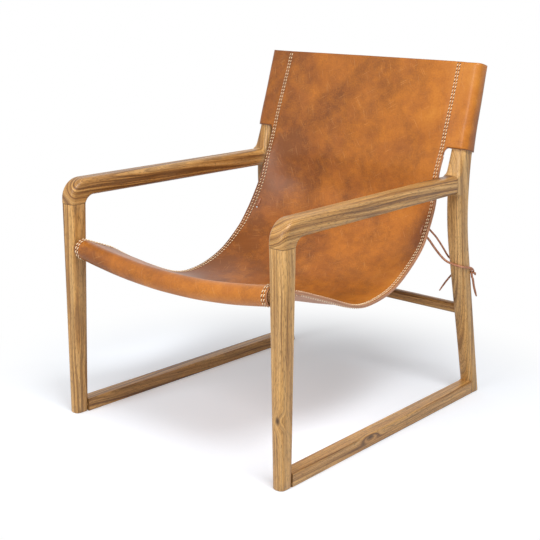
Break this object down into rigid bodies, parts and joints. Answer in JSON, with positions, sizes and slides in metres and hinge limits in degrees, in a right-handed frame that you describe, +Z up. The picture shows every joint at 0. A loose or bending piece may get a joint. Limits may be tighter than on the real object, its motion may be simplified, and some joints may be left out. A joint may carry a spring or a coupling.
{
  "type": "sling lounge chair",
  "caption": "Low lounge chair: a sled-footed teak frame with arms carries one sling of thick leather, sleeved over the back posts and the front rail and laced to the back legs.",
  "frame": {"origin": "on the floor, under the middle of the chair's outline", "axes": "+X to the sitter's left, -Y the front that the sitter faces, +Z up"},
  "size_m": [0.65, 0.7774, 0.8004],
  "materials": {
    "teak": "oiled teak, sanded smooth, satin",
    "dowel_wood": "plain hardwood dowel, glued in",
    "saddle_leather": "vegetable-tanned tan leather, waxed, lightly polished",
    "band_leather": "flesh side of tan leather, unfinished",
    "lace_leather": "cut leather thong"
  },
  "bodies": {
    "root": {"front_leg_left": "teak", "front_leg_right": "teak", "back_leg_left": "teak", "back_leg_right": "teak", "arm_left": "teak", "arm_right": "teak", "sled_rail_left": "teak", "sled_rail_right": "teak", "front_rail": "teak", "rear_stretcher": "teak", "arm_front_dowel_a_left": "dowel_wood", "arm_front_dowel_b_left": "dowel_wood", "arm_back_dowel_a_left": "dowel_wood", "arm_back_dowel_b_left": "dowel_wood", "sled_front_dowel_a_left": "dowel_wood", "sled_front_dowel_b_left": "dowel_wood", "sled_back_dowel_a_left": "dowel_wood", "sled_back_dowel_b_left": "dowel_wood", "arm_front_dowel_a_right": "dowel_wood", "arm_front_dowel_b_right": "dowel_wood", "arm_back_dowel_a_right": "dowel_wood", "arm_back_dowel_b_right": "dowel_wood", "sled_front_dowel_a_right": "dowel_wood", "sled_front_dowel_b_right": "dowel_wood", "sled_back_dowel_a_right": "dowel_wood", "sled_back_dowel_b_right": "dowel_wood", "sling_hide": "saddle_leather", "edge_band_left": "band_leather", "edge_band_right": "band_leather", "upper_lace_left": "lace_leather", "lower_lace_left": "lace_leather", "upper_lace_right": "lace_leather", "lower_lace_right": "lace_leather"}
  },
  "joints": []
}
